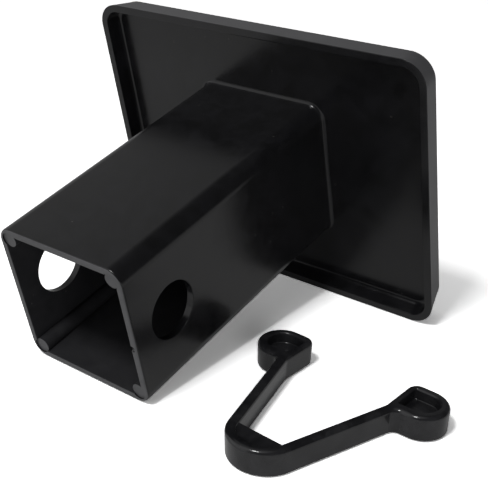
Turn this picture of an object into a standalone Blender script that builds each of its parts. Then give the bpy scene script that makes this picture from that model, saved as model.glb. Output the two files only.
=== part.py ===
"""Hitch receiver cover, laid on a flat surface with its spring clip lying loose beside it.

The cover is one moulding: a shallow tray-backed plate with a hollow square tube behind it.
The clip is a second moulding: a V-shaped spring with a domed lug at the end of each arm.
It works inside the tube, where its lugs stand out through the two side holes.
"""

import math

import bmesh
import bpy
from mathutils import Matrix, Vector

# Tube. It fits a receiver with a 2 inch square socket, and widens by its draft towards the plate.
TUBE_LENGTH = 0.0946
TUBE_HALF_WIDTH = 0.0250
TUBE_DRAFT = 0.0003
TUBE_CORNER_RADIUS = 0.0052
TUBE_WALL_AT_END = 0.0024
TUBE_CORE_DRAFT = 0.0003
TUBE_END_ROUND = 0.0008
TUBE_MOUTH_ROUND = 0.0003
TUBE_BASE_FILLET = 0.0010

# Side holes, where the clip's lugs come out.
HOLE_DIAMETER = 0.0184
HOLE_FROM_END = 0.0168

# Columns in the tube's inner corners. Each ends in a round pad, sunk a little into the rim.
COLUMN_DIAMETER = 0.0050
COLUMN_FROM_SIDE = 0.0041
PAD_DIAMETER = 0.0052
PAD_RECESS = 0.0007

# Plate, with a shallow tray in its back. It is widest at the lip, and draws in towards its front.
PLATE_WIDTH = 0.1330
PLATE_HEIGHT = 0.1010
PLATE_SIDE_DRAFT = 0.0020
PLATE_CORNER_RADIUS = 0.0088
PLATE_FLOOR = 0.0063
PLATE_FRONT_ROUND = 0.0030
PLATE_OFFSET_X = 0.0009
PLATE_OFFSET_Z = 0.0013
TRAY_DEPTH = 0.0056
LIP_WIDTH = 0.0028
LIP_ROUND = 0.0004
TRAY_CORNER_RADIUS = 0.0058
TRAY_WALL_DRAFT = 0.0006
TRAY_FLOOR_FILLET = 0.0016

# Spring clip. U runs across the clip and V from its bend towards its lugs.
# Its outline is that of its top, and draws in by its draft towards the foot.
CLIP_HEIGHT = 0.0082
CLIP_THICKNESS = 0.0034
CLIP_DRAFT = 0.0002
CLIP_BEND_RADIUS = 0.0113
CLIP_HALF_ANGLE = math.radians(16.48)
CLIP_TOP_ROUND = 0.0010
CLIP_BOTTOM_ROUND = 0.0007
LUG_INNER_U = 0.0179
LUG_START_V = 0.0322
LUG_LENGTH = 0.0160
LUG_FLAT = 0.0076
LUG_CORNER_RADIUS = 0.0035
LUG_ARM_FILLET = 0.0027
LUG_ROOT_FILLET = 0.0057
WEB_EDGE_V = -0.0023
WEB_RECESS = 0.0008
POCKET_DEPTH = 0.0012
POCKET_INNER_RIM = 0.0022
POCKET_TOP_RIM = 0.0028
POCKET_ARM_RIM = 0.0034
POCKET_CORNER_RADIUS = 0.0008

# Where the clip lies: its gap to the tube's side and to the plate's foot, and its turn.
CLIP_TUBE_GAP = 0.0075
CLIP_PLATE_GAP = 0.0459
CLIP_TURN = math.radians(-3.07)

# Facets.
CORNER_STEPS = 8
ROUND_STEPS = 3
FRONT_ROUND_STEPS = 5
HOLE_SIDES = 48
COLUMN_SIDES = 24
BEND_STEPS = 10
DOME_STEPS = 14
CUT_MARGIN = 0.0030


def clear_scene():
    for item in list(bpy.data.objects):
        bpy.data.objects.remove(item, do_unlink=True)


def plastic(name, colour, roughness):
    """Moulded black plastic."""
    material = bpy.data.materials.new(name)
    material.use_nodes = True
    shader = material.node_tree.nodes["Principled BSDF"]
    shader.inputs["Base Color"].default_value = (*colour, 1.0)
    shader.inputs["Metallic"].default_value = 0.0
    shader.inputs["Roughness"].default_value = roughness
    return material


def add_object(name, bm, parent, material=None):
    """Turns a bmesh into a named object under its parent."""
    bmesh.ops.recalc_face_normals(bm, faces=bm.faces)
    mesh = bpy.data.meshes.new(name)
    bm.to_mesh(mesh)
    bm.free()
    item = bpy.data.objects.new(name, mesh)
    bpy.context.collection.objects.link(item)
    item.parent = parent
    if material:
        mesh.materials.append(material)
        mesh.shade_smooth()
        mesh.set_sharp_from_angle(angle=math.radians(35.0))
    return item


def add_tool(name, bm, parent):
    """A shape that only cuts or fills another one."""
    tool = add_object(name, bm, parent)
    tool.hide_render = True
    tool.display_type = "WIRE"
    return tool


def combine(target, tool, operation):
    modifier = target.modifiers.new(tool.name, "BOOLEAN")
    modifier.object = tool
    modifier.operation = operation
    modifier.solver = "EXACT"


def loft(bm, rings):
    """Closed skin through rings of equal length, with a flat cap on the first and the last."""
    rows = [[bm.verts.new(point) for point in ring] for ring in rings]
    count = len(rows[0])
    for lower, upper in zip(rows, rows[1:]):
        for i in range(count):
            j = (i + 1) % count
            bm.faces.new((lower[i], lower[j], upper[j], upper[i]))
    bm.faces.new(rows[0])
    bm.faces.new(rows[-1])


def arc(centre, radius, start, end, steps):
    """Points of an arc, both ends included."""
    points = []
    for i in range(steps + 1):
        angle = start + (end - start) * i / steps
        points.append(centre + radius * Vector((math.cos(angle), math.sin(angle))))
    return points


def fillet(before, corner, after, radius, steps):
    """Arc that rounds one corner of an outline."""
    back = (before - corner).normalized()
    ahead = (after - corner).normalized()
    half = 0.5 * math.acos(max(-1.0, min(1.0, back.dot(ahead))))
    reach = radius / math.tan(half)
    centre = corner + (back + ahead).normalized() * (radius / math.sin(half))
    first = corner + back * reach - centre
    last = corner + ahead * reach - centre
    start = math.atan2(first.y, first.x)
    turn = math.atan2(first.x * last.y - first.y * last.x, first.dot(last))
    return arc(centre, radius, start, start + turn, steps)


def inset(points, distance):
    """The outline moved inwards by a distance. The points run anticlockwise."""
    moved = []
    for i, point in enumerate(points):
        back = (point - points[i - 1]).normalized()
        ahead = (points[(i + 1) % len(points)] - point).normalized()
        side_back = Vector((-back.y, back.x))
        side_ahead = Vector((-ahead.y, ahead.x))
        bisector = (side_back + side_ahead).normalized()
        moved.append(point + bisector * (distance / bisector.dot(side_back)))
    return moved


def rounded_rectangle(half_x, half_z, radius, y, centre=(0.0, 0.0)):
    """Ring in a plane across the tube's axis."""
    ring = []
    for quarter, (side_x, side_z) in enumerate(((1, 1), (-1, 1), (-1, -1), (1, -1))):
        middle = Vector((centre[0] + side_x * (half_x - radius), centre[1] + side_z * (half_z - radius)))
        start = quarter * math.pi / 2
        for point in arc(middle, radius, start, start + math.pi / 2, CORNER_STEPS):
            ring.append(Vector((point.x, y, point.y)))
    return ring


def cylinder(bm, radius, length, sides, matrix):
    bmesh.ops.create_cone(
        bm,
        cap_ends=True,
        segments=sides,
        radius1=radius,
        radius2=radius,
        depth=length,
        matrix=matrix,
    )


def quarter_turns(steps):
    """Sine and cosine at even steps from 0 to 90 degrees."""
    for i in range(steps + 1):
        angle = 0.5 * math.pi * i / steps
        yield math.sin(angle), math.cos(angle)


def plate_ring(inward, y, radius):
    """Ring of the plate's outline, moved inwards from its widest edge."""
    half_x = 0.5 * PLATE_WIDTH - inward
    half_z = 0.5 * PLATE_HEIGHT - inward
    return rounded_rectangle(half_x, half_z, radius, y, (PLATE_OFFSET_X, PLATE_OFFSET_Z))


def tube_half(y):
    """Half width of the tube's outside, which narrows towards its open end."""
    return TUBE_HALF_WIDTH + TUBE_DRAFT * (1.0 + y / TUBE_LENGTH)


def cover_rings():
    """Section rings of the whole moulding, from its front face round to the bottom of its bore."""
    front = TRAY_DEPTH + PLATE_FLOOR
    rings = []

    # Front face and its rounded edge.
    for sine, cosine in quarter_turns(FRONT_ROUND_STEPS):
        inward = PLATE_FRONT_ROUND * (1.0 - sine)
        y = front - PLATE_FRONT_ROUND * (1.0 - cosine)
        rings.append(plate_ring(PLATE_SIDE_DRAFT + inward, y, PLATE_CORNER_RADIUS - inward))

    # Side wall, and the lip with both its edges rounded.
    for sine, cosine in quarter_turns(ROUND_STEPS):
        inward = LIP_ROUND * (1.0 - cosine)
        rings.append(plate_ring(inward, LIP_ROUND * (1.0 - sine), PLATE_CORNER_RADIUS - inward))
    for sine, cosine in quarter_turns(ROUND_STEPS):
        inward = LIP_WIDTH - LIP_ROUND * (1.0 - sine)
        y = LIP_ROUND * (1.0 - cosine)
        rings.append(plate_ring(inward, y, TRAY_CORNER_RADIUS + LIP_ROUND * (1.0 - sine)))

    # Drafted tray wall, running into the floor with a fillet.
    for sine, cosine in quarter_turns(ROUND_STEPS):
        inward = LIP_WIDTH + TRAY_WALL_DRAFT + TRAY_FLOOR_FILLET * (1.0 - cosine)
        y = TRAY_DEPTH - TRAY_FLOOR_FILLET * (1.0 - sine)
        rings.append(plate_ring(inward, y, TRAY_CORNER_RADIUS - TRAY_FLOOR_FILLET * (1.0 - cosine)))

    # Fillet at the foot of the tube.
    for sine, cosine in quarter_turns(ROUND_STEPS):
        outward = TUBE_BASE_FILLET * (1.0 - sine)
        y = TRAY_DEPTH - TUBE_BASE_FILLET * (1.0 - cosine)
        half = tube_half(y) + outward
        rings.append(rounded_rectangle(half, half, TUBE_CORNER_RADIUS + outward, y))

    # Open end: outer edge, rim and mouth.
    for sine, cosine in quarter_turns(ROUND_STEPS):
        inward = TUBE_END_ROUND * (1.0 - cosine)
        half = TUBE_HALF_WIDTH - inward
        y = -TUBE_LENGTH + TUBE_END_ROUND * (1.0 - sine)
        rings.append(rounded_rectangle(half, half, TUBE_CORNER_RADIUS - inward, y))
    bore_half = TUBE_HALF_WIDTH - TUBE_WALL_AT_END
    bore_radius = TUBE_CORNER_RADIUS - TUBE_WALL_AT_END
    for sine, cosine in quarter_turns(ROUND_STEPS):
        outward = TUBE_MOUTH_ROUND * (1.0 - sine)
        y = -TUBE_LENGTH + TUBE_MOUTH_ROUND * (1.0 - cosine)
        rings.append(rounded_rectangle(bore_half + outward, bore_half + outward, bore_radius + outward, y))

    # Closed end of the bore, at the level of the tray's floor.
    deep = bore_half - TUBE_CORE_DRAFT
    rings.append(rounded_rectangle(deep, deep, bore_radius, TRAY_DEPTH))
    return rings


def corner_cylinders(diameter, start, end):
    """Four cylinders along the tube, one in each of its inner corners."""
    bm = bmesh.new()
    off_axis = TUBE_HALF_WIDTH - COLUMN_FROM_SIDE
    for side_x in (-1, 1):
        for side_z in (-1, 1):
            place = Vector((side_x * off_axis, 0.5 * (start + end), side_z * off_axis))
            matrix = Matrix.Translation(place) @ Matrix.Rotation(math.pi / 2, 4, "X")
            cylinder(bm, 0.5 * diameter, end - start, COLUMN_SIDES, matrix)
    return bm


def build_cover(parent, material):
    bm = bmesh.new()
    loft(bm, cover_rings())
    cover = add_object("cover", bm, parent, material)

    # Corner columns, from within the rim down into the closed end, then their sunken pads.
    top = -TUBE_LENGTH + 0.5 * PAD_RECESS
    bottom = TRAY_DEPTH + 0.5 * PLATE_FLOOR
    columns = corner_cylinders(COLUMN_DIAMETER, top, bottom)
    combine(cover, add_tool("corner_columns", columns, parent), "UNION")
    recesses = corner_cylinders(PAD_DIAMETER, -TUBE_LENGTH - CUT_MARGIN, -TUBE_LENGTH + PAD_RECESS)
    combine(cover, add_tool("pad_recesses", recesses, parent), "DIFFERENCE")

    # One drill through both side walls.
    bm = bmesh.new()
    place = Vector((0.0, -TUBE_LENGTH + HOLE_FROM_END, 0.0))
    matrix = Matrix.Translation(place) @ Matrix.Rotation(math.pi / 2, 4, "Y")
    cylinder(bm, 0.5 * HOLE_DIAMETER, 2.0 * (TUBE_HALF_WIDTH + TUBE_DRAFT + CUT_MARGIN), HOLE_SIDES, matrix)
    combine(cover, add_tool("hole_drill", bm, parent), "DIFFERENCE")
    return cover


def lug_end():
    """Centre and radius of a lug's domed end."""
    radius = 0.5 * LUG_LENGTH
    return Vector((LUG_INNER_U + LUG_FLAT, LUG_START_V + radius)), radius


def mirrored(half):
    """Full outline from its right half, which runs anticlockwise from the bend."""
    return half + [Vector((-point.x, point.y)) for point in reversed(half)]


def clip_outline():
    """The spring's strip and its two lugs as one closed outline."""
    normal = Vector((math.cos(CLIP_HALF_ANGLE), -math.sin(CLIP_HALF_ANGLE)))
    along = Vector((math.sin(CLIP_HALF_ANGLE), math.cos(CLIP_HALF_ANGLE)))
    bend_inner = CLIP_BEND_RADIUS - CLIP_THICKNESS
    lug_top = LUG_START_V + LUG_LENGTH
    dome_centre, dome_radius = lug_end()

    outer_start = CLIP_BEND_RADIUS * normal
    outer_corner = outer_start + along * ((LUG_START_V - outer_start.y) / along.y)
    inner_start = bend_inner * normal
    inner_corner = inner_start + along * ((LUG_INNER_U - inner_start.x) / along.x)
    dome_foot = Vector((dome_centre.x, LUG_START_V))
    dome_head = Vector((dome_centre.x, lug_top))
    top_corner = Vector((LUG_INNER_U, lug_top))

    centre = Vector((0.0, 0.0))
    step = (0.5 * math.pi - CLIP_HALF_ANGLE) / BEND_STEPS
    start = -0.5 * math.pi + 0.5 * step
    half = arc(centre, CLIP_BEND_RADIUS, start, -CLIP_HALF_ANGLE, BEND_STEPS)
    half += fillet(outer_start, outer_corner, dome_foot, LUG_ARM_FILLET, 4)
    half += arc(dome_centre, dome_radius, -0.5 * math.pi, 0.5 * math.pi, DOME_STEPS)
    half += fillet(dome_head, top_corner, inner_corner, LUG_CORNER_RADIUS, 4)
    half += fillet(top_corner, inner_corner, inner_start, LUG_ROOT_FILLET, 2)
    half += arc(centre, bend_inner, -CLIP_HALF_ANGLE, start, BEND_STEPS)
    return mirrored(half)


def web_outline():
    """Web that fills the inside of the bend, reaching half way into the strip round it."""
    middle = CLIP_BEND_RADIUS - 0.5 * CLIP_THICKNESS
    rise = math.sin(CLIP_HALF_ANGLE)
    edge_u = (middle + WEB_EDGE_V * rise) / math.cos(CLIP_HALF_ANGLE)
    step = (0.5 * math.pi - CLIP_HALF_ANGLE) / BEND_STEPS
    start = -0.5 * math.pi + 0.5 * step
    half = arc(Vector((0.0, 0.0)), middle, start, -CLIP_HALF_ANGLE, BEND_STEPS)
    half = [point for point in half if point.y < WEB_EDGE_V]
    half.append(Vector((edge_u, WEB_EDGE_V)))
    return mirrored(half)


def pocket_outline():
    """D-shaped recess in the top of the right lug."""
    dome_centre, dome_radius = lug_end()
    low = LUG_START_V + POCKET_ARM_RIM
    high = LUG_START_V + LUG_LENGTH - POCKET_TOP_RIM
    radius = 0.5 * (high - low)
    centre = Vector((dome_centre.x, 0.5 * (low + high)))
    inner = LUG_INNER_U + POCKET_INNER_RIM
    foot = Vector((centre.x, low))
    head = Vector((centre.x, high))
    upper = Vector((inner, high))
    lower = Vector((inner, low))
    outline = arc(centre, radius, -0.5 * math.pi, 0.5 * math.pi, DOME_STEPS)
    outline += fillet(head, upper, lower, POCKET_CORNER_RADIUS, 3)
    outline += fillet(upper, lower, foot, POCKET_CORNER_RADIUS, 3)
    return outline


def prism(bm, outline, low, high):
    loft(bm, [[Vector((p.x, p.y, z)) for p in outline] for z in (low, high)])


def build_clip(parent, material):
    outline = clip_outline()
    rings = []
    for sine, cosine in quarter_turns(ROUND_STEPS):
        ring = inset(outline, CLIP_DRAFT + CLIP_BOTTOM_ROUND * (1.0 - sine))
        z = CLIP_BOTTOM_ROUND * (1.0 - cosine)
        rings.append([Vector((p.x, p.y, z)) for p in ring])
    for sine, cosine in quarter_turns(ROUND_STEPS):
        ring = inset(outline, CLIP_TOP_ROUND * (1.0 - cosine))
        z = CLIP_HEIGHT - CLIP_TOP_ROUND * (1.0 - sine)
        rings.append([Vector((p.x, p.y, z)) for p in ring])
    bm = bmesh.new()
    loft(bm, rings)
    clip = add_object("retaining_clip", bm, parent, material)

    # The web is thinner than the strip and lies back from both its faces.
    bm = bmesh.new()
    prism(bm, web_outline(), WEB_RECESS, CLIP_HEIGHT - WEB_RECESS)
    combine(clip, add_tool("bend_web", bm, parent), "UNION")

    pocket = pocket_outline()
    for name, side in (("pocket_right", 1), ("pocket_left", -1)):
        bm = bmesh.new()
        outline = [Vector((side * p.x, p.y)) for p in pocket]
        prism(bm, outline, CLIP_HEIGHT - POCKET_DEPTH, CLIP_HEIGHT + CUT_MARGIN)
        combine(clip, add_tool(name, bm, parent), "DIFFERENCE")
    return clip


def resting_tilt():
    """Angle at which the cover rests on its lower lip edge and its open end, and its drop."""
    lip = Vector((LIP_ROUND, -0.5 * PLATE_HEIGHT + PLATE_OFFSET_Z + LIP_ROUND))
    end = Vector((-TUBE_LENGTH + TUBE_END_ROUND, -TUBE_HALF_WIDTH + TUBE_END_ROUND))
    span = lip - end
    tilt = math.atan2(-span.y, span.x) + math.asin((LIP_ROUND - TUBE_END_ROUND) / span.length)
    drop = lip.x * math.sin(tilt) + lip.y * math.cos(tilt) - LIP_ROUND
    return tilt, drop


def add_empty(name, parent=None):
    empty = bpy.data.objects.new(name, None)
    bpy.context.collection.objects.link(empty)
    empty.parent = parent
    return empty


def bounds(items):
    """Corners of the box round the finished shapes, in world space."""
    depsgraph = bpy.context.evaluated_depsgraph_get()
    points = []
    for item in items:
        shape = item.evaluated_get(depsgraph)
        points += [shape.matrix_world @ vertex.co for vertex in shape.data.vertices]
    low = Vector([min(p[i] for p in points) for i in range(3)])
    high = Vector([max(p[i] for p in points) for i in range(3)])
    return low, high


def main():
    clear_scene()
    set_base = add_empty("hitch_cover_set")
    cover_frame = add_empty("cover_frame", set_base)
    clip_frame = add_empty("clip_frame", set_base)

    cover = build_cover(cover_frame, plastic("cover_black_plastic", (0.012, 0.012, 0.013), 0.28))
    clip = build_clip(clip_frame, plastic("clip_black_plastic", (0.010, 0.010, 0.011), 0.22))

    # The cover leans on two edges. Its foot, under the lip's edge, is the lay-out's own origin.
    tilt, drop = resting_tilt()
    cover_frame.rotation_euler = (tilt, 0.0, 0.0)
    foot = 0.5 * PLATE_HEIGHT - PLATE_OFFSET_Z
    cover_frame.location = (0.0, -foot * math.sin(tilt), -drop)

    # The clip lies flat beside the tube, turned a little.
    dome_centre, dome_radius = lug_end()
    reach = dome_centre.x + dome_radius
    turn = Matrix.Rotation(CLIP_TURN, 2)
    outermost = turn @ Vector((-reach, dome_centre.y))
    farthest = LUG_START_V + LUG_LENGTH
    clip_x = TUBE_HALF_WIDTH + TUBE_DRAFT + CLIP_TUBE_GAP - outermost.x
    clip_frame.location = (clip_x, -CLIP_PLATE_GAP - farthest, 0.0)
    clip_frame.rotation_euler = (0.0, 0.0, CLIP_TURN)

    # The lay-out's origin goes to the middle of the floor under it.
    bpy.context.view_layer.update()
    low, high = bounds((cover, clip))
    set_base.location = (-0.5 * (low.x + high.x), -0.5 * (low.y + high.y), -low.z)
    bpy.context.view_layer.update()


main()
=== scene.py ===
"""Black moulded hitch receiver cover, leaning on its tube, with its spring clip lying beside it."""

import math

import bmesh
import bpy
from mathutils import Matrix, Vector


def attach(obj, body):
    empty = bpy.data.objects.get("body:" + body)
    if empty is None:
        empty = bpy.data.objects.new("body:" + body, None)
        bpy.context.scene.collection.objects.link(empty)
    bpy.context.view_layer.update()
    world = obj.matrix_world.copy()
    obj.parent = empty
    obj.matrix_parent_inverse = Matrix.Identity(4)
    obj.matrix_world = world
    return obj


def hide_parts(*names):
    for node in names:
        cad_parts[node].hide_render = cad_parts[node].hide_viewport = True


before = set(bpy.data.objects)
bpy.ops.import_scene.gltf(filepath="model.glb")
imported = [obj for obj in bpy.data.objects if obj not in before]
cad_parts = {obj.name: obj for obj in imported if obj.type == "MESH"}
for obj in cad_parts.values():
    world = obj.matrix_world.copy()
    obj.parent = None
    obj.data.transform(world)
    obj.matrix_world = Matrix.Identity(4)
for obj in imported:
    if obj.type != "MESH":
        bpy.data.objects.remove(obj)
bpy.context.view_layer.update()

# Camera
# A long lens a little above the set, off to the right of the tube's open end. Its axis meets the
# photograph above and left of the middle, because the picture is part of a larger one. The shift
# allows for that.
PHOTO_WIDTH = 488
PHOTO_HEIGHT = 486
FOCAL_PIXELS = 976.48
LENS_AXIS_PIXEL = (232.18, 205.16)
CAMERA_PLACE = (0.173896, -0.229591, 0.165555)
CAMERA_TURN = (67.711, -1.3619, 37.6979)
camera_data = bpy.data.cameras.new("product_camera")
camera_data.sensor_width = 36.0
camera_data.lens = FOCAL_PIXELS / PHOTO_WIDTH * camera_data.sensor_width
camera_data.shift_x = (0.5 * PHOTO_WIDTH - LENS_AXIS_PIXEL[0]) / PHOTO_WIDTH
camera_data.shift_y = (LENS_AXIS_PIXEL[1] - 0.5 * PHOTO_HEIGHT) / PHOTO_WIDTH
camera = bpy.data.objects.new("product_camera", camera_data)
camera.location = CAMERA_PLACE
camera.rotation_euler = [math.radians(turn) for turn in CAMERA_TURN]
bpy.context.collection.objects.link(camera)
bpy.context.scene.camera = camera

# Cover
# One injection moulding in black ABS: a blank plate with a shallow tray in its back, and a hollow
# square tube on the tray's floor that slides into the receiver. Its walls are drafted so that it
# leaves its mould. Sizes are in millimetres. The tube's axis is y, with the plate's lip at y = 0.
TUBE_LENGTH = 94.6
TUBE_HALF = 25.0
TUBE_DRAFT = 0.3
TUBE_CORNER = 5.2
TUBE_WALL = 2.4
BORE_DRAFT = 0.3
RIM_OUTER_ROUND = 0.8
RIM_INNER_ROUND = 0.3
TUBE_FOOT_FILLET = 1.5
PLATE_HALF = (66.5, 50.5)
PLATE_CENTRE = (0.9, 1.3)
PLATE_CORNER = 8.8
PLATE_DRAFT = 2.0
PLATE_FRONT_ROUND = 3.0
PLATE_FLOOR = 6.3
TRAY_DEPTH = 5.6
TRAY_CORNER = 5.8
TRAY_DRAFT = 0.6
TRAY_FILLET = 1.6
LIP_WIDTH = 2.8
LIP_OUTER_ROUND = 0.2
LIP_INNER_ROUND = 0.4
CORNER_STEPS = 20
ROUND_STEPS = 8

# It leans back on the tube's lower end edge and the plate's lower lip.
COVER_TILT = 14.4003
COVER_PLACE = (-0.017052, 0.03752, 0.047567)
cover_to_set = (
    Matrix.Translation(COVER_PLACE)
    @ Matrix.Rotation(math.radians(COVER_TILT), 4, "X")
    @ Matrix.Scale(0.001, 4)
)


def arc_points(centre, radius, start, end, steps):
    """Points of a plane arc, both ends included."""
    angles = [start + (end - start) * i / steps for i in range(steps + 1)]
    return [centre + radius * Vector((math.cos(a), math.sin(a))) for a in angles]


def square_ring(half_x, half_z, radius, y, centre=(0.0, 0.0)):
    """Rounded rectangle across the tube's axis."""
    ring = []
    for quarter, (side_x, side_z) in enumerate(((1, 1), (-1, 1), (-1, -1), (1, -1))):
        middle = Vector((centre[0] + side_x * (half_x - radius), centre[1] + side_z * (half_z - radius)))
        start = quarter * math.pi / 2
        points = arc_points(middle, radius, start, start + math.pi / 2, CORNER_STEPS)
        ring += [Vector((p.x, y, p.y)) for p in points]
    return ring


def skin(rings):
    """Closed mesh through rings of equal length, capped at both ends."""
    mesh = bmesh.new()
    rows = [[mesh.verts.new(p) for p in ring] for ring in rings]
    count = len(rows[0])
    for lower, upper in zip(rows, rows[1:]):
        for i in range(count):
            j = (i + 1) % count
            mesh.faces.new((lower[i], lower[j], upper[j], upper[i]))
    mesh.faces.new(rows[0])
    mesh.faces.new(rows[-1])
    bmesh.ops.recalc_face_normals(mesh, faces=mesh.faces)
    return mesh


def quarter_round(steps):
    """Sine and cosine at even steps from 0 to 90 degrees."""
    angles = [0.5 * math.pi * i / steps for i in range(steps + 1)]
    return [(math.sin(a), math.cos(a)) for a in angles]


def place_in_set(name, mesh, to_set):
    """Object from a mesh, brought from its own axes to its place in the set."""
    mesh.transform(to_set)
    data = bpy.data.meshes.new(name)
    mesh.to_mesh(data)
    mesh.free()
    piece = bpy.data.objects.new(name, data)
    bpy.context.collection.objects.link(piece)
    return piece


def work_into(piece, tools):
    """Applies cuts and joins to a piece, and removes the shapes that made them."""
    for tool, operation in tools:
        change = piece.modifiers.new(tool.name, "BOOLEAN")
        change.object = tool
        change.operation = operation
        change.solver = "EXACT"
    bpy.context.view_layer.update()
    shape = piece.evaluated_get(bpy.context.evaluated_depsgraph_get())
    finished = bpy.data.meshes.new_from_object(shape)
    piece.modifiers.clear()
    piece.data = finished
    for tool, _ in tools:
        bpy.data.objects.remove(tool, do_unlink=True)


def plate_ring(inward, y, radius):
    """Ring inside the plate's edge, at this distance from it."""
    return square_ring(PLATE_HALF[0] - inward, PLATE_HALF[1] - inward, radius, y, PLATE_CENTRE)


def tube_half(y):
    """Half the tube's drafted width at this place along it."""
    return TUBE_HALF + TUBE_DRAFT * (1.0 + y / TUBE_LENGTH)


def even_ring(half, radius, y):
    """Square ring round the tube's axis."""
    return square_ring(half, half, radius, y)


# The skin runs from the blank front over the lip, down into the tray, out along the tube, over
# its rim and back into the bore. Each loop is one rounded edge or fillet.
front_y = TRAY_DEPTH + PLATE_FLOOR
rings = []
for sine, cosine in quarter_round(ROUND_STEPS):
    inward = PLATE_FRONT_ROUND * (1.0 - sine)
    y = front_y - PLATE_FRONT_ROUND * (1.0 - cosine)
    rings.append(plate_ring(PLATE_DRAFT + inward, y, PLATE_CORNER - inward))
for sine, cosine in quarter_round(ROUND_STEPS):
    inward = LIP_OUTER_ROUND * (1.0 - cosine)
    rings.append(plate_ring(inward, LIP_OUTER_ROUND * (1.0 - sine), PLATE_CORNER - inward))
for sine, cosine in quarter_round(ROUND_STEPS):
    outward = LIP_INNER_ROUND * (1.0 - sine)
    y = LIP_INNER_ROUND * (1.0 - cosine)
    rings.append(plate_ring(LIP_WIDTH - outward, y, TRAY_CORNER + outward))
for sine, cosine in quarter_round(ROUND_STEPS):
    inward = TRAY_FILLET * (1.0 - cosine)
    y = TRAY_DEPTH - TRAY_FILLET * (1.0 - sine)
    rings.append(plate_ring(LIP_WIDTH + TRAY_DRAFT + inward, y, TRAY_CORNER - inward))
for sine, cosine in quarter_round(ROUND_STEPS):
    outward = TUBE_FOOT_FILLET * (1.0 - sine)
    y = TRAY_DEPTH - TUBE_FOOT_FILLET * (1.0 - cosine)
    rings.append(even_ring(tube_half(y) + outward, TUBE_CORNER + outward, y))
for sine, cosine in quarter_round(ROUND_STEPS):
    inward = RIM_OUTER_ROUND * (1.0 - cosine)
    y = -TUBE_LENGTH + RIM_OUTER_ROUND * (1.0 - sine)
    rings.append(even_ring(TUBE_HALF - inward, TUBE_CORNER - inward, y))
bore_half = TUBE_HALF - TUBE_WALL
bore_corner = TUBE_CORNER - TUBE_WALL
for sine, cosine in quarter_round(ROUND_STEPS):
    outward = RIM_INNER_ROUND * (1.0 - sine)
    y = -TUBE_LENGTH + RIM_INNER_ROUND * (1.0 - cosine)
    rings.append(even_ring(bore_half + outward, bore_corner + outward, y))
rings.append(even_ring(bore_half - BORE_DRAFT, bore_corner, TRAY_DEPTH))
cover = place_in_set("cover_moulding", skin(rings), cover_to_set)

# Columns in the bore's corners. Each ends in a round pad, sunk a little into the rim, where an
# ejector pin pushed the moulding out. Cutters reach past the faces by the overshoot.
COLUMN_RADIUS = 2.5
COLUMN_FROM_SIDE = 4.1
PAD_RADIUS = 2.6
PAD_RECESS = 0.5
COLUMN_SIDES = 40
OVERSHOOT = 0.4


def turned(profile, axis, steps):
    """Solid turned from (radius, height) points about an axis through the origin."""
    rings = []
    for radius, height in profile:
        ring = []
        for i in range(steps):
            angle = 2.0 * math.pi * i / steps
            across = (radius * math.cos(angle), radius * math.sin(angle))
            point = (height, *across) if axis == "X" else (across[0], height, across[1])
            ring.append(Vector(point))
        rings.append(ring)
    return skin(rings)


column_off_axis = TUBE_HALF - COLUMN_FROM_SIDE
column_ends = (-TUBE_LENGTH + 0.5 * PAD_RECESS, TRAY_DEPTH + 0.5 * PLATE_FLOOR)
recess_ends = (-TUBE_LENGTH - OVERSHOOT, -TUBE_LENGTH + PAD_RECESS)
corner_work = []
for name, radius, ends, operation in (
    ("corner_column", COLUMN_RADIUS, column_ends, "UNION"),
    ("pad_recess", PAD_RADIUS, recess_ends, "DIFFERENCE"),
):
    for side_x in (-1, 1):
        for side_z in (-1, 1):
            mesh = turned([(radius, y) for y in ends], "Y", COLUMN_SIDES)
            corner = (side_x * column_off_axis, 0.0, side_z * column_off_axis)
            mesh.transform(Matrix.Translation(corner))
            corner_work.append((place_in_set(name, mesh, cover_to_set), operation))

# Holes through both side walls. The cutter flares at each face, which leaves a rounded edge.
HOLE_RADIUS = 9.2
HOLE_FROM_END = 16.8
HOLE_EDGE = 0.2
HOLE_SIDES = 96
FLARE_END = math.radians(80.0)
FLARE_STEPS = 8
FLARE_RUN = OVERSHOOT * math.tan(FLARE_END)


def flare(edge_round, steps):
    """A cutter's flare as steps (outwards, along), which round the edge that it cuts."""
    angles = [FLARE_END * i / steps for i in range(steps + 1)]
    return [(edge_round * (1.0 - math.cos(a)), edge_round * math.sin(a)) for a in angles]


def hole_profile(side):
    """Profile of the cutter through one wall, from inside the bore outwards."""
    outer = tube_half(-TUBE_LENGTH + HOLE_FROM_END)
    inner = bore_half - BORE_DRAFT * HOLE_FROM_END / (TUBE_LENGTH + TRAY_DEPTH)
    steps = flare(HOLE_EDGE, FLARE_STEPS)
    widen, rise = steps[-1]
    mouth = HOLE_RADIUS + widen + FLARE_RUN
    profile = [(mouth, inner - OVERSHOOT)]
    profile += [(HOLE_RADIUS + outwards, inner + rise - along) for outwards, along in reversed(steps)]
    profile += [(HOLE_RADIUS + outwards, outer - rise + along) for outwards, along in steps]
    profile.append((mouth, outer + OVERSHOOT))
    return [(radius, side * x) for radius, x in profile]


holes = []
for side in (-1, 1):
    mesh = turned(hole_profile(side), "X", HOLE_SIDES)
    mesh.transform(Matrix.Translation((0.0, -TUBE_LENGTH + HOLE_FROM_END, 0.0)))
    holes.append((place_in_set("side_hole", mesh, cover_to_set), "DIFFERENCE"))

# Nick in the inner edge of the rim, where something has knocked the right wall.
NICK_PLACE = (23.05, -94.9, -2.9)
NICK_RADIUS = 1.1
mesh = bmesh.new()
bmesh.ops.create_icosphere(mesh, subdivisions=3, radius=NICK_RADIUS)
mesh.transform(Matrix.Translation(NICK_PLACE))
nick = place_in_set("rim_nick", mesh, cover_to_set)
work_into(cover, corner_work + holes + [(nick, "DIFFERENCE")])


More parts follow.
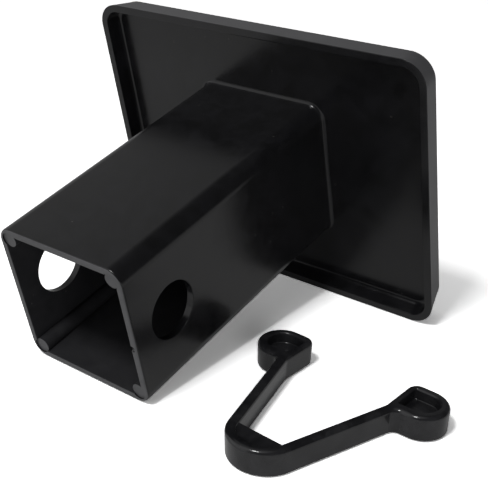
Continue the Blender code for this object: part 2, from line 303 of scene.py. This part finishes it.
def linear(hex_colour):
    """Linear colour, as the shader takes it, from an sRGB hex value."""
    parts = [int(hex_colour[i : i + 2], 16) / 255 for i in (1, 3, 5)]
    return (*[p / 12.92 if p <= 0.04045 else ((p + 0.055) / 1.055) ** 2.4 for p in parts], 1.0)


def add_node(tree, kind, settings=None, links=None):
    """Adds a node, sets its properties and sockets by name, and links its inputs."""
    node = tree.nodes.new(kind)
    for name, value in (settings or {}).items():
        if name in node.inputs.keys():
            node.inputs[name].default_value = value
        else:
            setattr(node, name, value)
    for name, source in (links or {}).items():
        tree.links.new(source, node.inputs[name])
    return node


def per_mm(size):
    """Texture scale that gives a pattern of this size in millimetres."""
    return 1000.0 / size


# Patterns on the plastic, in millimetres. The grain of a spark-eroded mould is really about a
# tenth of this size. It is drawn coarser so that it shows.
FLOW_PATCH = 7.0
GRAIN_SIZE = 0.9
DUST_SPACING = 7.0
DUST_CORE = 0.14
DUST_EDGE = 0.35
DUST_COVERS = 0.3
DUST_COLOUR = "#6a6864"


def black_moulding(name, colour, patch_colour, roughness, gloss, waves, grain_depth):
    """Injection-moulded ABS or nylon, as it leaves one face of its mould.

    Cooling leaves shallow waves in the flats, and the melt's flow leaves patches that are a shade
    duller. A few specks of dust lie on it. Gloss is 0.5 where the face mirrors all that its IOR
    allows. Waves are given as (size, depth), and depths are in millimetres.
    """
    wave_size, wave_depth = waves
    material = bpy.data.materials.new(name)
    material.use_nodes = True
    tree = material.node_tree
    tree.nodes.clear()
    place = add_node(tree, "ShaderNodeTexCoord").outputs["Object"]
    flow = add_node(
        tree,
        "ShaderNodeTexNoise",
        {"Scale": per_mm(FLOW_PATCH), "Detail": 3.0, "Roughness": 0.55, "Distortion": 0.6},
        {"Vector": place},
    )
    dullness = add_node(
        tree,
        "ShaderNodeMapRange",
        {"From Min": 0.3, "From Max": 0.7, "To Min": roughness - 0.03, "To Max": roughness + 0.04},
        {"Value": flow.outputs["Fac"]},
    )
    swell = add_node(
        tree, "ShaderNodeTexNoise", {"Scale": per_mm(wave_size), "Detail": 1.0}, {"Vector": place}
    )
    grain = add_node(
        tree, "ShaderNodeTexNoise", {"Scale": per_mm(GRAIN_SIZE), "Detail": 2.0}, {"Vector": place}
    )
    waved = add_node(
        tree,
        "ShaderNodeBump",
        {"Strength": 1.0, "Distance": 0.001 * wave_depth},
        {"Height": swell.outputs["Fac"]},
    )
    grained = add_node(
        tree,
        "ShaderNodeBump",
        {"Strength": 1.0, "Distance": 0.001 * grain_depth},
        {"Height": grain.outputs["Fac"], "Normal": waved.outputs["Normal"]},
    )
    patches = add_node(
        tree, "ShaderNodeMapRange", {"From Min": 0.35, "From Max": 0.65}, {"Value": flow.outputs["Fac"]}
    )
    tint = add_node(
        tree,
        "ShaderNodeMixRGB",
        {"Color1": linear(colour), "Color2": linear(patch_colour)},
        {"Fac": patches.outputs["Result"]},
    )
    specks = add_node(tree, "ShaderNodeTexVoronoi", {"Scale": per_mm(DUST_SPACING)}, {"Vector": place})
    speck_size = {"From Min": DUST_CORE / DUST_SPACING, "From Max": DUST_EDGE / DUST_SPACING}
    dust = add_node(
        tree,
        "ShaderNodeMapRange",
        {**speck_size, "To Min": DUST_COVERS, "To Max": 0.0},
        {"Value": specks.outputs["Distance"]},
    )
    dusted = add_node(
        tree,
        "ShaderNodeMixRGB",
        {"Color2": linear(DUST_COLOUR)},
        {"Fac": dust.outputs["Result"], "Color1": tint.outputs["Color"]},
    )
    shader = add_node(
        tree,
        "ShaderNodeBsdfPrincipled",
        {"Metallic": 0.0, "IOR": 1.5, "Specular IOR Level": gloss},
        {
            "Base Color": dusted.outputs["Color"],
            "Roughness": dullness.outputs["Result"],
            "Normal": grained.outputs["Normal"],
        },
    )
    add_node(tree, "ShaderNodeOutputMaterial", None, {"Surface": shader.outputs["BSDF"]})
    return material


SHARP_FROM = math.radians(30.0)
FLATNESS_WEIGHT = 80


def finish_surface(piece, finishes, finish_at=None):
    """Smooth shading with flat faces kept flat, and a finish for each face."""
    piece.data.materials.clear()
    for material in finishes:
        piece.data.materials.append(material)
    for face in piece.data.polygons:
        face.material_index = finish_at(face) if finish_at else 0
    piece.data.shade_smooth()
    piece.data.set_sharp_from_angle(angle=SHARP_FROM)
    even = piece.modifiers.new("flat_faces", "WEIGHTED_NORMAL")
    even.mode = "FACE_AREA"
    even.keep_sharp = True
    even.weight = FLATNESS_WEIGHT


# The tray and the outside of the tube left polished steel: a deep black that mirrors the room, a little
# blurred. The plate's front and outer wall and the tube's open end left spark-eroded steel: dull dark
# grey, with a fine grain, partly the plastic's own grey and partly painted light, lighter for the light
# that the rim and outer wall catch. The bore left a plain machined core: dull, with hardly a sheen, in a
# grey a little lighter than the tray's, which is painted light in the shaded bore.
COVER_WAVES = (22.0, 0.02)
POLISHED, SPARK_ERODED_PAINTED_LIGHT, MACHINED_PAINTED_LIGHT = range(3)
cover_finishes = (
    black_moulding("black_abs_polished", "#111112", "#171719", 0.21, 0.39, COVER_WAVES, 0.0024),
    # The spark-eroded grey is partly painted light: it is lighter than the plastic's own, for the light
    # that the rim and the plate's outer wall catch.
    black_moulding("black_abs_spark_eroded_painted_light", "#464648", "#505052", 0.45, 0.4, COVER_WAVES, 0.01),
    # The machined grey is partly painted light: lighter than the tray's, for the light that reaches into
    # the shaded bore.
    black_moulding("black_abs_machined_painted_light", "#232325", "#29292b", 0.75, 0.12, COVER_WAVES, 0.004),
)

# How far from an edge a finish changes, and how far a face turns before it is a wall or an end.
FINISH_MARGIN = 0.1
WALL_MARGIN = 0.01
WALL_FACING = 0.5
END_FACING = -0.7
set_to_cover = cover_to_set.inverted()


def cover_finish(face):
    """Which finish of the mould made this face, by its place and the way it faces. The spark-eroded and
    machined finishes also carry painted light in their lighter greys.
    """
    place = set_to_cover @ face.center
    facing = (set_to_cover.to_3x3() @ face.normal).normalized()
    off_axis = max(abs(place.x), abs(place.z))
    faces_out = facing.x * place.x + facing.z * place.z > WALL_FACING * off_axis
    outer_wall = place.y > LIP_OUTER_ROUND and off_axis > TUBE_HALF + LIP_WIDTH and faces_out
    open_end = place.y < -TUBE_LENGTH + PAD_RECESS + FINISH_MARGIN and facing.y < END_FACING
    if place.y > TRAY_DEPTH + FINISH_MARGIN or outer_wall or open_end:
        return SPARK_ERODED_PAINTED_LIGHT
    in_bore = off_axis < bore_half + WALL_MARGIN and place.y > -TUBE_LENGTH + FINISH_MARGIN
    return MACHINED_PAINTED_LIGHT if in_bore else POLISHED


finish_surface(cover, cover_finishes, cover_finish)
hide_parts("cover")
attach(cover, "root")

# Spring clip
# A second moulding, in tougher black nylon: a V-shaped spring with a web across its bend, and at
# the end of each arm a domed lug with a D-shaped recess in its top. In use it is pushed into the
# tube, where its lugs hold in the side holes. Here it lies flat.

# Sizes in millimetres. U runs across the clip, and V from its bend to its lugs.
CLIP_HEIGHT = 8.2
CLIP_THICKNESS = 3.4
CLIP_DRAFT = 0.2
BEND_RADIUS = 11.3
HALF_ANGLE = math.radians(16.48)
CLIP_TOP_ROUND = 1.4
CLIP_FOOT_ROUND = 0.7
LUG_INNER_U = 17.9
LUG_START_V = 32.2
LUG_LENGTH = 16.0
LUG_FLAT = 7.6
LUG_CORNER = 3.5
ARM_FILLET = 2.7
ROOT_FILLET = 5.7
WEB_EDGE_V = -2.3
WEB_RECESS = 0.8
POCKET_DEPTH = 3.6
POCKET_RIMS = (2.2, 2.8, 3.4)
POCKET_CORNER = 0.8
POCKET_EDGE = 0.8
POCKET_FILLET = 0.35
POCKET_FLARE_STEPS = 6
CLIP_PLACE = (0.047047, -0.044344, 0.0)
CLIP_TURN = -3.07
clip_to_set = (
    Matrix.Translation(CLIP_PLACE)
    @ Matrix.Rotation(math.radians(CLIP_TURN), 4, "Z")
    @ Matrix.Scale(0.001, 4)
)


def rounded_corner(before, corner, after, radius, steps):
    """Arc in place of an outline's corner."""
    back = (before - corner).normalized()
    ahead = (after - corner).normalized()
    half = 0.5 * math.acos(max(-1.0, min(1.0, back.dot(ahead))))
    centre = corner + (back + ahead).normalized() * (radius / math.sin(half))
    first = corner + back * (radius / math.tan(half)) - centre
    last = corner + ahead * (radius / math.tan(half)) - centre
    start = math.atan2(first.y, first.x)
    turn = math.atan2(first.x * last.y - first.y * last.x, first.dot(last))
    return arc_points(centre, radius, start, start + turn, steps)


def shrunk(outline, distance):
    """Outline moved inwards. It runs anticlockwise."""
    moved = []
    for i, point in enumerate(outline):
        back = (point - outline[i - 1]).normalized()
        ahead = (outline[(i + 1) % len(outline)] - point).normalized()
        side = Vector((-back.y, back.x))
        bisector = (side + Vector((-ahead.y, ahead.x))).normalized()
        moved.append(point + bisector * (distance / bisector.dot(side)))
    return moved


def mirrored(half):
    """Whole outline from its right half."""
    return half + [Vector((-p.x, p.y)) for p in reversed(half)]


def at_height(outline, z):
    """Ring of a plane outline, lifted to z."""
    return [Vector((p.x, p.y, z)) for p in outline]


BEND_STEPS = 24
DOME_STEPS = 36
FILLET_STEPS = 10
ROOT_STEPS = 6
FOOT_STEPS = 5
across_arm = Vector((math.cos(HALF_ANGLE), -math.sin(HALF_ANGLE)))
along_arm = Vector((math.sin(HALF_ANGLE), math.cos(HALF_ANGLE)))
lug_top = LUG_START_V + LUG_LENGTH
dome_radius = 0.5 * LUG_LENGTH
dome_centre = Vector((LUG_INNER_U + LUG_FLAT, LUG_START_V + dome_radius))
outer_start = BEND_RADIUS * across_arm
inner_start = (BEND_RADIUS - CLIP_THICKNESS) * across_arm
outer_corner = outer_start + along_arm * ((LUG_START_V - outer_start.y) / along_arm.y)
inner_corner = inner_start + along_arm * ((LUG_INNER_U - inner_start.x) / along_arm.x)
bend_step = (0.5 * math.pi - HALF_ANGLE) / BEND_STEPS
bend_start = -0.5 * math.pi + 0.5 * bend_step
origin = Vector((0.0, 0.0))
half_outline = arc_points(origin, BEND_RADIUS, bend_start, -HALF_ANGLE, BEND_STEPS)
dome_foot, dome_head = Vector((dome_centre.x, LUG_START_V)), Vector((dome_centre.x, lug_top))
lug_corner = Vector((LUG_INNER_U, lug_top))
half_outline += rounded_corner(outer_start, outer_corner, dome_foot, ARM_FILLET, FILLET_STEPS)
half_outline += arc_points(dome_centre, dome_radius, -0.5 * math.pi, 0.5 * math.pi, DOME_STEPS)
half_outline += rounded_corner(dome_head, lug_corner, inner_corner, LUG_CORNER, FILLET_STEPS)
half_outline += rounded_corner(lug_corner, inner_corner, inner_start, ROOT_FILLET, ROOT_STEPS)
half_outline += arc_points(origin, BEND_RADIUS - CLIP_THICKNESS, -HALF_ANGLE, bend_start, BEND_STEPS)
clip_outline = mirrored(half_outline)

rings = []
for sine, cosine in quarter_round(FOOT_STEPS):
    inward = CLIP_DRAFT + CLIP_FOOT_ROUND * (1.0 - sine)
    rings.append(at_height(shrunk(clip_outline, inward), CLIP_FOOT_ROUND * (1.0 - cosine)))
for sine, cosine in quarter_round(ROUND_STEPS):
    z = CLIP_HEIGHT - CLIP_TOP_ROUND * (1.0 - sine)
    rings.append(at_height(shrunk(clip_outline, CLIP_TOP_ROUND * (1.0 - cosine)), z))
clip = place_in_set("clip_moulding", skin(rings), clip_to_set)

# Web across the bend, thinner than the strip.
web_radius = BEND_RADIUS - 0.5 * CLIP_THICKNESS
web_edge_u = (web_radius + WEB_EDGE_V * math.sin(HALF_ANGLE)) / math.cos(HALF_ANGLE)
half_web = arc_points(origin, web_radius, bend_start, -HALF_ANGLE, BEND_STEPS)
half_web = [p for p in half_web if p.y < WEB_EDGE_V] + [Vector((web_edge_u, WEB_EDGE_V))]
web_outline = mirrored(half_web)
web = skin([at_height(web_outline, WEB_RECESS), at_height(web_outline, CLIP_HEIGHT - WEB_RECESS)])
clip_tools = [(place_in_set("bend_web", web, clip_to_set), "UNION")]

# Recess in each lug, which saves plastic. A flared cutter rounds its edge, and a fillet its floor.
inner_rim, top_rim, arm_rim = POCKET_RIMS
low_v, high_v = LUG_START_V + arm_rim, lug_top - top_rim
flat_u = LUG_INNER_U + inner_rim
pocket_centre = Vector((dome_centre.x, 0.5 * (low_v + high_v)))
pocket_foot, pocket_head = Vector((dome_centre.x, low_v)), Vector((dome_centre.x, high_v))
pocket_low, pocket_high = Vector((flat_u, low_v)), Vector((flat_u, high_v))
pocket = arc_points(pocket_centre, 0.5 * (high_v - low_v), -0.5 * math.pi, 0.5 * math.pi, DOME_STEPS)
pocket += rounded_corner(pocket_head, pocket_high, pocket_low, POCKET_CORNER, ROUND_STEPS)
pocket += rounded_corner(pocket_high, pocket_low, pocket_foot, POCKET_CORNER, ROUND_STEPS)
pocket_rings = []
for sine, cosine in quarter_round(FOOT_STEPS):
    z = CLIP_HEIGHT - POCKET_DEPTH + POCKET_FILLET * (1.0 - cosine)
    pocket_rings.append(at_height(shrunk(pocket, POCKET_FILLET * (1.0 - sine)), z))
steps = flare(POCKET_EDGE, POCKET_FLARE_STEPS)
widen, rise = steps[-1]
for outwards, along in steps:
    pocket_rings.append(at_height(shrunk(pocket, -outwards), CLIP_HEIGHT - rise + along))
pocket_rings.append(at_height(shrunk(pocket, -widen - FLARE_RUN), CLIP_HEIGHT + OVERSHOOT))
for side in (-1, 1):
    rings = [[Vector((side * p.x, p.y, p.z)) for p in ring] for ring in pocket_rings]
    clip_tools.append((place_in_set("lug_recess", skin(rings), clip_to_set), "DIFFERENCE"))
work_into(clip, clip_tools)

# Its mould is polished all over, so the eye sees a glossy black that is a little wavy, with
# brighter lines where its rounded edges catch the light.
CLIP_WAVES = (7.0, 0.045)
clip_finish = black_moulding("black_nylon_polished", "#171719", "#272729", 0.16, 0.46, CLIP_WAVES, 0.0024)
finish_surface(clip, [clip_finish])
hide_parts("retaining_clip")
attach(clip, "root")

# Table and light
# A matt white laminate table under a square softbox, with a fill card at the right. The camera
# sees the table overexposed and a little flared, as the photograph does, so that it burns out to
# white and keeps the shadows. The table lies just clear of the clip's foot.
TABLE_RADIUS = 3.0
TABLE_SIDES = 96
TABLE_GAP = 0.0002
TABLE_WHITE = 0.82
TABLE_EXPOSURE = 2.3
TABLE_FLARE = 0.08
table_mesh = bmesh.new()
bmesh.ops.create_circle(table_mesh, cap_ends=True, segments=TABLE_SIDES, radius=TABLE_RADIUS)
table = place_in_set("white_table", table_mesh, Matrix.Translation((0.0, 0.0, -TABLE_GAP)))
table_paint = bpy.data.materials.new("white_table_laminate")
table_paint.use_nodes = True
tree = table_paint.node_tree
tree.nodes.clear()
rays = add_node(tree, "ShaderNodeLightPath")
paint = add_node(tree, "ShaderNodeBsdfDiffuse", {"Color": (*[TABLE_WHITE] * 3, 1.0)})
seen_paint = add_node(tree, "ShaderNodeBsdfDiffuse", {"Color": (*[TABLE_EXPOSURE] * 3, 1.0)})
lens_flare = add_node(
    tree, "ShaderNodeEmission", {"Color": (1.0, 1.0, 1.0, 1.0), "Strength": TABLE_FLARE}
)
exposed = add_node(
    tree, "ShaderNodeAddShader", None, {0: seen_paint.outputs["BSDF"], 1: lens_flare.outputs["Emission"]}
)
blend = add_node(
    tree,
    "ShaderNodeMixShader",
    None,
    {0: rays.outputs["Is Camera Ray"], 1: paint.outputs["BSDF"], 2: exposed.outputs["Shader"]},
)
add_node(tree, "ShaderNodeOutputMaterial", None, {"Surface": blend.outputs["Shader"]})
table.data.materials.append(table_paint)

# The room is dark, but for three pale places: the wall at the left, the ceiling over the softbox
# and a window at the front left. Each has its direction, the cosines of the angles from it at
# which it fades out and is full, how it fades, and its level. The camera sees the room as white.
ROOM_DARK = 0.05
PALE_PLACES = (
    ((-1.0, 0.0, 0.0), 0.2, 1.0, "LINEAR", 0.48),
    ((-0.1, -0.35, 0.93), 0.8, 0.95, "SMOOTHSTEP", 0.4),
    ((-0.6, -0.74, 0.3), 0.7, 0.97, "SMOOTHSTEP", 0.55),
)
room = bpy.data.worlds.new("room")
bpy.context.scene.world = room
room.use_nodes = True
tree = room.node_tree
tree.nodes.clear()
rays = add_node(tree, "ShaderNodeLightPath")
direction = add_node(tree, "ShaderNodeTexCoord").outputs["Generated"]
level = add_node(tree, "ShaderNodeValue").outputs["Value"]
level.default_value = ROOM_DARK
for pale_direction, fades_at, full_at, fade, strength in PALE_PLACES:
    towards = add_node(tree, "ShaderNodeVectorMath", {"operation": "DOT_PRODUCT"}, {0: direction})
    towards.inputs[1].default_value = pale_direction
    spread = {"From Min": fades_at, "From Max": full_at, "To Min": 0.0, "To Max": strength}
    pale = add_node(
        tree,
        "ShaderNodeMapRange",
        {"interpolation_type": fade, **spread},
        {"Value": towards.outputs["Value"]},
    )
    total = add_node(tree, "ShaderNodeMath", {"operation": "ADD"}, {0: level, 1: pale.outputs["Result"]})
    level = total.outputs["Value"]
walls = add_node(tree, "ShaderNodeBackground", {"Color": (1.0, 1.0, 1.0, 1.0)}, {"Strength": level})
white = add_node(tree, "ShaderNodeBackground", {"Color": (1.0, 1.0, 1.0, 1.0), "Strength": 1.0})
blend = add_node(
    tree,
    "ShaderNodeMixShader",
    None,
    {0: rays.outputs["Is Camera Ray"], 1: walls.outputs["Background"], 2: white.outputs["Background"]},
)
add_node(tree, "ShaderNodeOutputWorld", None, {"Surface": blend.outputs["Shader"]})

# The softbox is mirrored in the plastic. The fill card isn't, because the photographed plastic
# mirrors nothing bright at the right.
for name, size, place, power, is_mirrored in (
    ("overhead_softbox", 0.2, (0.0, -0.6, 1.04), 5.3, True),
    ("right_fill_card", 0.6, (1.0, -0.7, 0.35), 3.9, False),
):
    lamp_data = bpy.data.lights.new(name, "AREA")
    lamp_data.shape = "SQUARE"
    lamp_data.size = size
    lamp_data.energy = power
    lamp = bpy.data.objects.new(name, lamp_data)
    lamp.location = place
    lamp.rotation_euler = Vector(place).to_track_quat("Z", "Y").to_euler()
    lamp.visible_glossy = is_mirrored
    bpy.context.collection.objects.link(lamp)

bpy.context.scene.view_settings.view_transform = "Standard"

bpy.context.view_layer.update()
